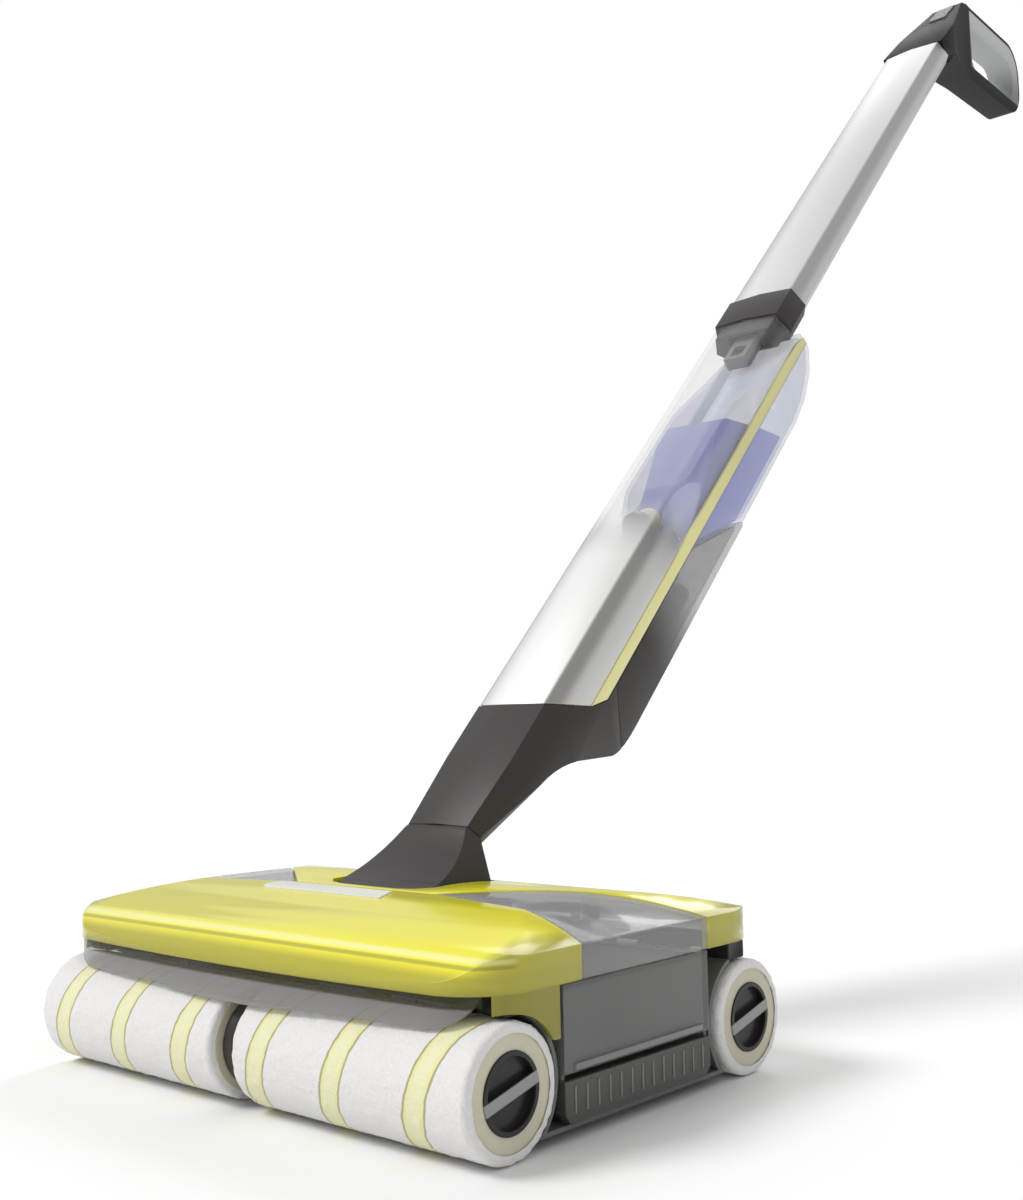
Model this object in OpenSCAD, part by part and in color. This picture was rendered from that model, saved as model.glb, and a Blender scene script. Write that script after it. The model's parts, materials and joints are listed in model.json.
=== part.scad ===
// Cordless floor scrubber with four driven rollers, a leaning stick and a hand loop.
// X runs along the rollers, -Y is the front, +Z is up, and the floor is z = 0.
// The origin is on the floor, midway between the two roller axles.

/* [Rollers and drive] */
// Length of the roller row, over both end caps
head_w = 306; // [280:1:370]
// Diameter over the fleece
roller_d = 56; // [46:0.5:68]
// Thickness of the fleece sleeve
fleece_t = 4; // [3:0.5:5]
// Wall of the roller core
core_wall = 3; // [2:0.5:4]
// Diameter of the round end cap
cap_d = 32.6; // [26:0.2:34]
// Teeth on each of the six equal gears
gear_teeth = 28; // [26:2:30]
// Gear module
gear_module = 1.25; // [1.2:0.01:1.3]
// Teeth on the motor pinion
pinion_teeth = 12; // [10:1:14]
// Direction from the first idler to the pinion, above level
pinion_angle = 75; // [65:1:85]
// Width of a gear's teeth
gear_w = 6; // [5:0.5:7]
// Radius of the round drive shafts in their bushes
shaft_r = 4; // [3.3:0.1:4.8]
// Length of hexagon that a roller slides onto
hex_len = 52; // [40:1:60]
// Radius of the idlers' fixed pins
idler_pin_r = 2.5; // [2:0.1:3]
// Radius of the drive motor's can
motor_r = 14; // [11:0.5:15]
// Length of the motor with its gearhead
motor_len = 36; // [30:1:37]

/* [Covers and tray] */
// Height from the top of the rollers to the covers' lip
lip_gap = 10; // [8:0.5:12]
// Height from the lip to the ridge that runs round the covers
ridge_rise = 12.5; // [10:0.5:14]
// Height from the lip to the crown
crown_rise = 27.5; // [25:0.5:33]
// Width of the sloping front band
bevel_w = 15; // [12:0.5:18]
// Radius of the covers' corners seen from above
corner_r = 32; // [24:1:36]
// Forward bow of the front edge, middle against corner
bow = 5; // [3:0.5:6]
// Wall of the covers
cover_wall = 2.2; // [1.8:0.1:2.6]
// Half the distance between the points of the two side notches
notch_x = 50; // [46:1:56]
// Where the side notch meets the front cover's end
notch_front = 43; // [38:1:50]
// Where the side notch meets the rear cover's end
notch_rear = 52; // [44:1:60]
// Air between the fleece and the tray's round fenders
fender_gap = 2; // [1.5:0.1:3]
// Thickness of fenders and tray floor
tray_t = 2; // [1.6:0.1:2.4]
// Height of the tray's underside
tray_z = 5; // [4:0.5:6]
// Thickness of the clear splash guards
guard_t = 1.6; // [1.2:0.1:2]

/* [Waste tanks] */
// Inner end of the waste tanks
waste_x = 46; // [45:1:60]
// Wall of the waste tanks
waste_wall = 2; // [1.6:0.1:2.4]
// Height of the tank lids' top
waste_lid_t = 2.4; // [2:0.1:3]

/* [Ankle joint] */
// Radius of the boot's barrel
barrel_r = 31; // [27:0.5:32]
// Half width of the barrel
barrel_x = 36; // [32:0.5:36]
// Radius of the hinge pin
hinge_r = 4; // [3.2:0.1:5]
// Distance of the hinge behind the middle of the head
pivot_y = 8; // [4:0.5:12]
// Depth of the hinge below the crown
pivot_drop = 9.5; // [8:0.5:12]
// Radius of the swivel stub
stub_r = 5.5; // [4.6:0.1:6.2]
// Radius of the water way through the stub
stub_bore = 3; // [2.5:0.1:3.6]

/* [Stick] */
// Lean of the stick away from upright
lean = 43.74; // [40:0.01:46]
// Half width of the stick at its widest
stick_x = 30; // [28:0.5:32]
// Depth of the stick in front of its centre line
front_t = 12; // [11:0.5:13]
// Depth of the upper tube behind its centre line
back_t = 11; // [10:0.5:12]
// Wall of the shell and the tube
shell_wall = 2.2; // [1.8:0.1:2.6]
// Height of the seam between boot and neck
seam_s = 38; // [37:0.5:40]
// Height where the front shell starts
shell_s = 126; // [120:1:132]
// Height where the front shell ends
collar_s = 514; // [505:1:620]
// Height of the collar
collar_h = 32; // [26:1:36]
// Length of the upper tube that shows
tube_len = 409; // [340:1:500]
// Depth of the rear housing behind the centre line
housing_t = 63; // [58:1:66]
// Angle of the tank's seat and of its way out, from the stick
seat_tilt = 27.2; // [24:0.1:30]
// Radius of the charging socket's bore
jack_r = 2.8; // [2.6:0.05:3]

/* [Hand loop] */
// Angle between the loop and the tube
grip_angle = 43.74; // [38:0.01:50]
// Outer height of the loop
loop_h = 73; // [66:1:84]
// Outer length of the loop behind its root
loop_len = 183; // [165:1:205]
// Thickness of the loop's grip
grip_t = 20; // [17:0.5:23]
// Half width of the grip
grip_x = 13; // [11:0.5:15]

/* [Fits] */
// Running clearance of pins and shafts, on the radius
run_fit = 0.05; // [0.03:0.01:0.08]
// Air between parts that slide or swing past each other
slide_gap = 0.5; // [0.4:0.05:0.7]
// Gap between shells that are fixed to each other
seam_gap = 0.25; // [0.15:0.05:0.4]

/* [Hidden] */
$fn = 64;

// Rollers and gears
roller_r = roller_d / 2;
axle_z = roller_r;
half_w = head_w / 2;
gear_r = gear_module * gear_teeth / 2;
gear_tip = gear_r + gear_module;
axle_y = 5 * gear_r;
pinion_r = gear_module * pinion_teeth / 2;
pinion_reach = gear_r + pinion_r;
pinion_y = -3 * gear_r + pinion_reach * cos(pinion_angle);
pinion_z = axle_z + pinion_reach * sin(pinion_angle);
gear_gap = 0.45;
case_wall = 1.6;
case_r = gear_tip + gear_gap + case_wall;
case_in = gear_w / 2 + 1.2;
case_out = case_in + 2;
roller_in = case_out + 1;
bush_r = shaft_r + 4;
motor_shaft_r = 2;
shaft_in = 9;
hex_r = shaft_r + 1.2;
hex_start = roller_in + 1;
core_r = roller_r - fleece_t;
cap_t = 6;
bar_w = 5.6;
bar_angle = 14;
screw_y = 2 * gear_r;
screw_dz = 0.885 * gear_r;

// Covers, outer faces
fender_in = roller_r + fender_gap;
fender_out = fender_in + tray_t;
lip_z = roller_d + lip_gap;
ridge_z = lip_z + ridge_rise;
crown_z = lip_z + crown_rise;
guard_drop = 0.75 * roller_r;
guard_z = axle_z + guard_drop;
guard_in = axle_y + sqrt(roller_r * roller_r - guard_drop * guard_drop) + fender_gap;
guard_y = guard_in + guard_t;
lip_y = guard_y + 0.8;
ridge_y = lip_y - bevel_w;
crown_r = (ridge_y * ridge_y) / (2 * (crown_z - ridge_z)) + (crown_z - ridge_z) / 2;
flat_x = half_w - 63;
end_r = 156;
bow_r = ((half_w - corner_r) * (half_w - corner_r) + bow * bow) / (2 * bow);
seam_y = 27.8;
cheek_z = axle_z + 16;
cheek_y = notch_front + 15;
plate_in = sqrt(fender_in * fender_in - (axle_z - tray_z - tray_t) * (axle_z - tray_z - tray_t)) + 0.5;
post_d = 8;
post_in = 16;
post_y = axle_y - post_in;
post_z = axle_z + sqrt(fender_in * fender_in - post_in * post_in);
post_top = crown_z - crown_r + sqrt(crown_r * crown_r - post_y * post_y) - cover_wall - seam_gap;

// Ankle
pivot_z = crown_z - pivot_drop;
well_gap = slide_gap + 0.1;
mouth_gap = well_gap + 1;
cradle_wall = 2.4;
well_r = barrel_r + well_gap;
well_x = barrel_x + well_gap;
stub_t = -3;
stub_top = seam_s + 24;
clip_s = seam_s + 15;
pin_end = barrel_x + well_gap + cradle_wall + 1.2;
pin_bore = 2;
hose_r = 2.6;
hose_x = pin_end + 4;
bar_z = lip_z - 4;
hose_z = bar_z + 14;

// Stick outlines, as (back from the centre line, up the stick)
neck_x = 26;
seam_back = 5;
root_s = 87;
root_back = 12;
instep_r = 74;
instep_t = 0.8 - front_t - instep_r;
instep_s = seam_s - 10;
// The hollow round the hinge pin leaves a wall behind the instep
hollow_r = norm([instep_t, instep_s]) - instep_r - 3.5;
band_front = 16;
band_back = 25;
tank_x = stick_x - shell_wall - 3 * slide_gap / 2;
seat_s = 298;
seat_len = (housing_t - 2 - band_back) / sin(seat_tilt);
seat_end = [housing_t - 2, seat_s + seat_len * cos(seat_tilt)];
spout_t = 10.5;
spout_s = seat_s + 17;
tank_top = collar_s + 16;
neck_r = 6;
cap_bore = 3;
valve_drop = 23;
pump_s = 200;
pump_r = 6.5;
pump_h = 46;
tube_s = collar_s + collar_h - 2;
handle_s = collar_s + collar_h + tube_len;
grip_s = handle_s + 55;

// ---------------------------------------------------------------- helpers

module along_x(x0, x1) translate([x0, 0, 0]) rotate([90, 0, 90]) linear_extrude(x1 - x0) children();
module along_y(y0, y1) translate([0, y1, 0]) rotate([90, 0, 0]) linear_extrude(y1 - y0) children();
module rod_x(x0, x1, r, y = 0, z = 0) translate([x0, y, z]) rotate([0, 90, 0]) cylinder(r = r, h = x1 - x0);
module left_and_right() { children(); mirror([1, 0, 0]) children(); }
module fore_and_aft() { children(); mirror([0, 1, 0]) children(); }
module on_stick() translate([0, pivot_y, pivot_z]) rotate([-lean, 0, 0]) children();
module on_loop() on_stick() translate([0, 0, grip_s]) rotate([grip_angle, 0, 0]) children();
module on_spout() on_stick() translate([0, spout_t, spout_s]) rotate([-seat_tilt, 0, 0]) children();

// A round pipe along straight runs, with slightly fatter elbow joints
module pipe(path, r) {
    for (i = [0:len(path) - 2]) {
        run = path[i + 1] - path[i];
        turn = atan2(norm([run.x, run.y]), run.z);
        translate(path[i]) rotate([0, turn, atan2(run.y, run.x)]) cylinder(r = r, h = norm(run), $fn = 24);
    }
    for (i = [1:1:len(path) - 2]) translate(path[i]) sphere(r = r + 0.4, $fn = 24);
}

// ------------------------------------------------------------------ gears

function involute(a) = tan(a) * 180 / PI - a;

// Half the angle of a tooth at radius r, less a little for backlash
function tooth_half(z, r, base) =
    90 / z + involute(20) - involute(acos(min(1, base / r))) - 0.13 * 180 / PI / (gear_module * z / 2);

function tooth(z, turn) = let (
    pitch = gear_module * z / 2,
    base = pitch * cos(20),
    root = pitch - 1.25 * gear_module,
    tip = pitch + gear_module,
    radii = [root, max(base, root + 0.1), pitch, tip],
    halves = [for (r = radii) tooth_half(z, max(r, base), base)]
) concat(
    [for (i = [0:3]) radii[i] * [cos(turn - halves[i]), sin(turn - halves[i])]],
    [for (i = [3:-1:0]) radii[i] * [cos(turn + halves[i]), sin(turn + halves[i])]]
);

module gear_2d(z, turn) polygon([for (k = [0:z - 1]) each tooth(z, turn + 360 * k / z)]);

// Rest angle of the gear that meshes with one at turn_a, in the direction of the line of centres
function mesh_turn(direction, turn_a, z_a, z_b) =
    direction + 180 - (0.5 - (direction - turn_a) * z_a / 360) * 360 / z_b;

// Gear k of the row of six, front to rear; each meshes with the next straight behind it
function row_turn(k) = k == 0 ? 0 : mesh_turn(0, row_turn(k - 1), gear_teeth, gear_teeth);
function row_y(k) = -axle_y + 2 * gear_r * k;

module row_gear(k) translate([0, row_y(k), axle_z])
    along_x(-gear_w / 2, gear_w / 2) gear_2d(gear_teeth, row_turn(k));

module idler(k) color("ivory") difference() {
    union() {
        row_gear(k);
        rod_x(-gear_w / 2 - 0.8, gear_w / 2 + 0.8, idler_pin_r + 2.5, row_y(k), axle_z);
    }
    rod_x(-gear_w, gear_w, idler_pin_r + run_fit, row_y(k), axle_z);
}

module motor_pinion() color("gold") translate([0, pinion_y, pinion_z]) difference() {
    union() {
        along_x(-gear_w / 2, gear_w / 2)
            gear_2d(pinion_teeth, mesh_turn(pinion_angle, row_turn(1), gear_teeth, pinion_teeth));
        rod_x(-case_in + 0.4, -gear_w / 2 + 0.5, pinion_r - 2 * gear_module);
        rod_x(-case_out - shaft_in, -gear_w / 2, motor_shaft_r);
    }
    rod_x(gear_w / 2 - 0.8, gear_w, motor_shaft_r);
}

module drive(k) color("silver") {
    row_gear(k);
    rod_x(-hex_start, hex_start, shaft_r, row_y(k), axle_z);
    left_and_right() translate([hex_start - 0.5, row_y(k), axle_z]) rotate([0, 90, 0])
        cylinder(r = hex_r, h = hex_len + 0.5, $fn = 6);
}

module front_drive() drive(0);
module rear_drive() drive(5);

// Outline of the gear case seen along X, drawn in by g
module case_outline(g = 0) {
    for (y = [-axle_y, axle_y]) translate([y, axle_z]) circle(r = case_r - g);
    translate([-axle_y, axle_z - case_r + g]) square([2 * axle_y, 2 * (case_r - g)]);
    translate([pinion_y, pinion_z]) circle(r = pinion_r + gear_module + gear_gap + case_wall - g);
    translate([pinion_y - pinion_r + g, axle_z]) square([2 * (pinion_r - g), pinion_z - axle_z]);
}

module case_half() difference() {
    along_x(0.1, case_out) case_outline();
    along_x(-0.1, case_in) difference() {
        case_outline(case_wall);
        for (y = [-screw_y, screw_y], side = [-1, 1])
            translate([y, axle_z + side * screw_dz]) circle(r = 3);
    }
    for (y = [-axle_y, axle_y]) rod_x(0, case_out + 1, bush_r, y, axle_z);
    for (k = [1:4]) rod_x(0, case_out + 1, idler_pin_r, row_y(k), axle_z);
    for (y = [-screw_y, screw_y], side = [-1, 1])
        rod_x(-1, case_out + 1, 1.5, y, axle_z + side * screw_dz);
    rod_x(0, case_out + 1, 5, pinion_y, pinion_z);
}

module gear_case_right() color("dimgray") case_half();
module gear_case_left() color("dimgray") mirror([1, 0, 0]) case_half();

module case_screws() color("silver") for (y = [-screw_y, screw_y], side = [-1, 1])
    translate([0, y, axle_z + side * screw_dz]) difference() {
        union() {
            rod_x(-case_out, case_out, 1.5);
            rod_x(case_out, case_out + 0.8, 2.8);
        }
        translate([case_out + 0.3, 0, 0]) rotate([0, 90, 0]) cylinder(r = 1.4, h = 1, $fn = 6);
    }

module shaft_bushes() color("goldenrod") left_and_right() for (y = [-axle_y, axle_y]) difference() {
    rod_x(case_in, case_out + 0.4, bush_r, y, axle_z);
    rod_x(0, 2 * case_out, shaft_r + run_fit, y, axle_z);
}

module idler_pins() color("silver") for (k = [1:4])
    rod_x(-case_out, case_out, idler_pin_r, row_y(k), axle_z);

module drive_motor() color("slategray") translate([0, pinion_y, pinion_z]) difference() {
    union() {
        rod_x(-case_out - motor_len, -case_out - 10, motor_r);
        rod_x(-case_out - 10, -case_out - 0.1, motor_r - 0.8);
        rod_x(-case_out - motor_len - 3, -case_out - motor_len, 4);
    }
    rod_x(-case_out - shaft_in - 0.5, 0, motor_shaft_r + run_fit);
    for (turn = [60, 180, 300]) rotate([turn, 0, 0])
        rod_x(-case_out - motor_len - 1, -case_out - motor_len + 2, 1.6, motor_r / 2 + 1);
}

// ---------------------------------------------------------------- rollers

// Half a roller lies at x > 0 and in front; the others are its mirror images
module placed(front, right) mirror([0, front ? 0 : 1, 0]) mirror([right ? 0 : 1, 0, 0])
    translate([0, -axle_y, axle_z]) children();

module roller_core() color("khaki") difference() {
    rod_x(roller_in, half_w - 1.5, core_r);
    rod_x(hex_start + hex_len - 10, half_w - 14, core_r - core_wall);
    translate([0, 0, 0]) rotate([0, 90, 0]) cylinder(r = hex_r + 0.1, h = hex_start + hex_len, $fn = 6);
    rod_x(half_w - 15, half_w, 10);
    rod_x(half_w - cap_t, half_w, cap_d / 2 + seam_gap / 2);
}

module roller_sleeve() color("white") difference() {
    rod_x(roller_in + 0.5, half_w - 0.6, roller_r);
    rod_x(0, half_w, core_r);
}

// Two finger hollows leave a pull bar, at an angle to level, standing between them
module roller_cap(angle) color("black") difference() {
    union() {
        rod_x(half_w - cap_t, half_w - 0.8, cap_d / 2);
        rod_x(half_w - 13, half_w - cap_t, 10);
    }
    rotate([angle, 0, 0]) for (side = [-1, 1]) intersection() {
        rod_x(half_w - 4, half_w, cap_d / 2 - 2);
        translate([half_w - 5, -cap_d, side * (cap_d + bar_w) / 2 - cap_d / 2]) cube([6, 2 * cap_d, cap_d]);
    }
}

module front_left_core() placed(true, false) roller_core();
module front_left_sleeve() placed(true, false) roller_sleeve();
module front_left_cap() placed(true, false) roller_cap(bar_angle);
module front_right_core() placed(true, true) roller_core();
module front_right_sleeve() placed(true, true) roller_sleeve();
module front_right_cap() placed(true, true) roller_cap(bar_angle);
module rear_left_core() placed(false, false) roller_core();
module rear_left_sleeve() placed(false, false) roller_sleeve();
module rear_left_cap() placed(false, false) roller_cap(-bar_angle);
module rear_right_core() placed(false, true) roller_core();
module rear_right_sleeve() placed(false, true) roller_sleeve();
module rear_right_cap() placed(false, true) roller_cap(-bar_angle);

// ------------------------------------------------------------- covers

module plan_outline(g) intersection() {
    translate([0, bow_r - lip_y]) circle(r = bow_r - g, $fn = 256);
    translate([0, lip_y - bow_r]) circle(r = bow_r - g, $fn = 256);
    union() {
        square([2 * (half_w - g), 2 * (lip_y - bow - corner_r)], center = true);
        square([2 * (half_w - corner_r), 4 * lip_y], center = true);
        for (x = [-1, 1], y = [-1, 1])
            translate([x * (half_w - corner_r), y * (lip_y - bow - corner_r)]) circle(r = corner_r - g);
    }
}

// The crowned block that all covers are cut from, drawn in by g
module crown(g = 0) intersection() {
    along_x(-half_w, half_w) intersection() {
        polygon([
            [-lip_y + g, lip_z - 1], [-lip_y + g, lip_z], [-ridge_y + g, ridge_z], [-ridge_y + g, crown_z],
            [ridge_y - g, crown_z], [ridge_y - g, ridge_z], [lip_y - g, lip_z], [lip_y - g, lip_z - 1]
        ]);
        translate([0, crown_z - crown_r]) circle(r = crown_r - g, $fn = 256);
    }
    along_y(-lip_y, lip_y) intersection() {
        translate([-half_w + g, lip_z - 1]) square([2 * (half_w - g), crown_rise + 2]);
        union() {
            for (x = [-flat_x, flat_x]) translate([x, crown_z - end_r]) circle(r = end_r - g, $fn = 192);
            translate([-flat_x, 0]) square([2 * flat_x, crown_z - g]);
        }
    }
    translate([0, 0, lip_z - 1]) linear_extrude(crown_rise + 2) plan_outline(g);
}

module crown_shell() difference() {
    crown();
    crown(cover_wall);
    translate([-half_w, -lip_y, lip_z - 2]) cube([head_w, 2 * lip_y, 1.5]);
}

module over(region) translate([0, 0, lip_z - 5]) linear_extrude(crown_rise + 10) polygon(region);

module cover_posts() left_and_right() fore_and_aft()
    translate([68, post_y - post_d, post_z]) cube([5, post_d, post_top - post_z]);

// Cheeks below the lip that arch over the outer ends of the front rollers
module cheeks() difference() {
    translate([0, 0, cheek_z]) linear_extrude(lip_z - cheek_z) difference() {
        plan_outline(0);
        plan_outline(cover_wall);
        square([2 * (half_w - 6.5), 3 * lip_y], center = true);
        translate([-head_w, -cheek_y]) square([2 * head_w, 3 * lip_y]);
    }
    rod_x(-half_w - 1, half_w + 1, fender_in, -axle_y, axle_z);
}

module front_cover() color("yellow") {
    intersection() {
        crown_shell();
        over([
            [-half_w - 1, -lip_y - 1], [half_w + 1, -lip_y - 1], [half_w + 1, -notch_front - seam_gap],
            [notch_x, -seam_y], [-notch_x, -seam_y], [-half_w - 1, -notch_front - seam_gap]
        ]);
    }
    cheeks();
}

module rear_cover() color("yellow") difference() {
    intersection() {
        crown_shell();
        over([
            [-half_w - 1, lip_y + 1], [half_w + 1, lip_y + 1], [half_w + 1, notch_rear + seam_gap],
            [notch_x, -seam_y + seam_gap], [-notch_x, -seam_y + seam_gap],
            [-half_w - 1, notch_rear + seam_gap]
        ]);
    }
    barrel(mouth_gap);
}

module side_windows() color("lightgray", 0.4) left_and_right() intersection() {
    crown_shell();
    over([
        [notch_x + 2, -seam_y - 0.3], [half_w + 1, -notch_front + seam_gap / 2],
        [half_w + 1, notch_rear - seam_gap / 2]
    ]);
}

// Clear guards that hang under the lip in front of the rollers, with round lower corners
module splash_guards() color("lightgray", 0.4) fore_and_aft() intersection() {
    translate([0, 0, guard_z - 5]) linear_extrude(lip_z) difference() {
        plan_outline(lip_y - guard_y);
        plan_outline(lip_y - guard_in);
    }
    along_y(-guard_y - 5, -axle_y) difference() {
        union() {
            translate([-half_w + 30, guard_z + 2.6]) square([head_w - 60, lip_z - guard_z]);
            for (x = [-1, 1]) translate([x * (half_w - 30), guard_z + 25]) circle(r = 22);
            translate([0, guard_z + 700]) circle(r = 700, $fn = 256);
        }
        for (x = [-1, 1]) translate([x * half_w, guard_z - 20]) square([16, 300], center = true);
        translate([-head_w, lip_z - 0.5]) square([2 * head_w, 2000]);
        for (x = [-1, 1]) difference() {
            translate([x * (half_w + 2), guard_z + 5]) square([50, 40], center = true);
            translate([x * (half_w - 30), guard_z + 25]) circle(r = 22);
        }
    }
}

// ------------------------------------------------------------------ tray

module fender_2d() translate([-axle_y, axle_z]) intersection() {
    difference() {
        circle(r = fender_out);
        circle(r = fender_in);
    }
    polygon([
        [0, 0], [plate_in - 4, tray_z - axle_z], [3 * fender_out, tray_z - axle_z],
        [3 * fender_out, 2 * fender_out], [fender_out * 0.85, 2 * fender_out]
    ]);
}

module base_tray() color("gray") difference() {
    union() {
        along_x(-half_w + 4, half_w - 4) {
            fender_2d();
            mirror([1, 0]) fender_2d();
            translate([-axle_y + plate_in, tray_z]) square([2 * (axle_y - plate_in), tray_t]);
        }
        cover_posts();
    }
    // Way for the gear case
    translate([-case_out - 0.4, -axle_y, tray_z + tray_t - 0.01])
        cube([2 * case_out + 0.8, 2 * axle_y, roller_d]);
    // Rows of drain slots under the tanks
    left_and_right() for (x = [waste_x + 14:22:half_w - 20], y = [-20, 0, 20])
        translate([x, y - 1, tray_z - 1]) cube([12, 2, tray_t + 2]);
}

module wringer_strips() color("dimgray") fore_and_aft() left_and_right()
    along_x(roller_in + 2, half_w - 6) translate([-axle_y, axle_z]) rotate(48) intersection() {
        difference() {
            circle(r = fender_in);
            circle(r = roller_r + 0.4);
        }
        translate([0, -2]) square([2 * roller_r, 4]);
    }

module water_bar() {
    y = axle_y;
    z = bar_z;
    difference() {
        along_x(-half_w + 12, half_w - 12) polygon([
            [y - 5, z - 2], [y + 5, z - 2], [y + 5, z + 3], [y + 3, z + 5], [y - 3, z + 5], [y - 5, z + 3]
        ]);
        translate([-half_w + 14, y - 3, z - 0.5]) cube([head_w - 28, 6, 4]);
    }
}
module rear_water_bar() color("slateblue") water_bar();
module front_water_bar() color("slateblue") mirror([0, 1, 0]) water_bar();

// Short combs hang from each bar and spread the water on the fleece
comb_at = [40, 87];
comb_len = 32;
comb_step = 4;
module spray_combs() color("white") fore_and_aft() left_and_right() for (x = comb_at) {
    translate([x, axle_y - 3, lip_z - 7.5]) cube([comb_len, 6, 1.5]);
    for (i = [0:comb_step:comb_len - 1.6])
        translate([x + i, axle_y - 2.5, roller_d + 0.8]) cube([1.6, 5, lip_z - 7 - roller_d - 0.8]);
}

// Two hoses run from the hollow hinge pin to the bars, one forward and one back
module water_hoses() color("steelblue") {
    pipe([
        [pin_end, pivot_y, pivot_z], [hose_x, pivot_y, pivot_z], [hose_x, pivot_y, hose_z],
        [hose_x, -axle_y + 24, hose_z], [hose_x, -axle_y, bar_z + 10], [hose_x, -axle_y, bar_z + 5]
    ], hose_r);
    pipe([
        [hose_x, pivot_y, hose_z], [hose_x, axle_y - 24, hose_z], [hose_x, axle_y, bar_z + 10],
        [hose_x, axle_y, bar_z + 5]
    ], hose_r);
}

// ----------------------------------------------------------------- ankle

// The boot's barrel, round the hinge axis and grown by g
module barrel(g = 0) translate([0, pivot_y, pivot_z]) rotate([0, 90, 0]) rotate_extrude() polygon([
    [0, -barrel_x - g], [0.72 * barrel_r + g, -barrel_x - g], [0.92 * barrel_r + g, -barrel_x + 6],
    [barrel_r + g, -barrel_x + 16], [barrel_r + g, barrel_x - 16], [0.92 * barrel_r + g, barrel_x - 6],
    [0.72 * barrel_r + g, barrel_x + g], [0, barrel_x + g]
]);

// A trough round the barrel, hung between two upright cheeks that hold the hinge pin
module ankle_cradle() color("dimgray") difference() {
    union() {
        left_and_right() along_x(well_x, well_x + cradle_wall) {
            well_2d(well_r + cradle_wall);
            translate([pivot_y - 13, tray_z + tray_t]) square([26, pivot_z - tray_z - tray_t + 6]);
        }
        along_x(-well_x, well_x) difference() {
            well_2d(well_r + cradle_wall);
            translate([pivot_y, pivot_z]) circle(r = well_r);
        }
    }
    rod_x(-half_w, half_w, hinge_r, pivot_y, pivot_z);
}
module well_2d(r) intersection() {
    translate([pivot_y, pivot_z]) circle(r = r);
    translate([pivot_y - 2 * r, pivot_z - 4 - 2 * r]) square([4 * r, 2 * r]);
}

module hinge_pin() color("silver") difference() {
    rod_x(-pin_end, pin_end, hinge_r, pivot_y, pivot_z);
    rod_x(-2, pin_end + 1, pin_bore, pivot_y, pivot_z);
}

module boot() color("dimgray") difference() {
    union() {
        intersection() {
            barrel();
            translate([-half_w, pivot_y - 60, 0]) cube([head_w, 120, pivot_z + 5]);
        }
        hull() {
            intersection() {
                barrel($fn = 40);
                translate([-half_w, pivot_y - 60, pivot_z + 1.5]) cube([head_w, 120, 4.5]);
            }
            on_stick() translate([0, 0, seam_s - 1.5]) linear_extrude(1.5) foot_2d();
        }
        on_stick() translate([0, stub_t, seam_s - 4]) cylinder(r = stub_r, h = stub_top - seam_s + 4);
    }
    rod_x(-2 * barrel_x, 2 * barrel_x, hinge_r + run_fit, pivot_y, pivot_z);
    rod_x(-barrel_x + 5, barrel_x - 5, hollow_r, pivot_y, pivot_z);
    on_stick() rod_x(-2 * barrel_x, 2 * barrel_x, instep_r, instep_t, instep_s);
    on_stick() translate([0, stub_t, 0]) cylinder(r = stub_bore, h = stub_top + 1);
}

module swivel_clip() color("silver") on_stick() translate([0, stub_t, clip_s]) difference() {
    cylinder(r = stub_r + 2.5, h = 2.5);
    translate([0, 0, -1]) cylinder(r = stub_r, h = 5);
}

// ----------------------------------------------------------------- stick

// Section of the stick seen from below, drawn in by g
module tube_section(g = 0) polygon([
    [0, -front_t - 0.5 + g], [stick_x - 5 - g, -front_t + 1 + g], [stick_x - g, 4],
    [stick_x - 5 - g, back_t - g], [-stick_x + 5 + g, back_t - g], [-stick_x + g, 4],
    [-stick_x + 5 + g, -front_t + 1 + g]
]);

// Wider section of the shell, neck and housing, down to the rear of the housing
module body_section(g = 0) polygon([
    [0, -front_t - 0.5 + g], [stick_x - 5 - g, -front_t + 1 + g], [stick_x - g, 4], [stick_x - g, band_back],
    [stick_x - 8 - g, housing_t - g], [-stick_x + 8 + g, housing_t - g], [-stick_x + g, band_back],
    [-stick_x + g, 4], [-stick_x + 5 + g, -front_t + 1 + g]
]);

module body_block(outline, g = 0) intersection() {
    along_x(-stick_x - 1, stick_x + 1) polygon(outline);
    linear_extrude(collar_s + 100) body_section(g);
}

// Points of a smooth bend from a to c that leaves a and reaches c pointing at b
function bend(a, b, c, n) = [for (i = [0:n]) let (k = i / n) (1 - k) * (1 - k) * a + 2 * k * (1 - k) * b + k * k * c];

instep = bend([root_back, root_s], [16, 105], [28, shell_s - 7], 5);
belly = bend([housing_t - 10, shell_s + 19], [housing_t, shell_s + 28], [housing_t, shell_s + 52], 8);
shell_edge = [[-front_t - 2, shell_s - 2], [band_front, shell_s + 24], [band_back, shell_s + 38]];
panel_line = [[band_back, shell_s + 50], belly[4]];

// Section of the neck where it stands on the boot
module foot_2d() polygon([
    [0, -front_t - 0.5], [neck_x - 4, -front_t + 0.8], [neck_x, -3], [neck_x - 7, seam_back],
    [7 - neck_x, seam_back], [-neck_x, -3], [4 - neck_x, -front_t + 0.8]
]);

module neck_root() hull() {
    translate([0, 0, seam_s + 0.4]) linear_extrude(0.2) foot_2d();
    translate([0, 0, root_s]) linear_extrude(0.2) intersection() {
        body_section();
        translate([-stick_x, -front_t - 1]) square([2 * stick_x, front_t + 1 + root_back]);
    }
}

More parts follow.
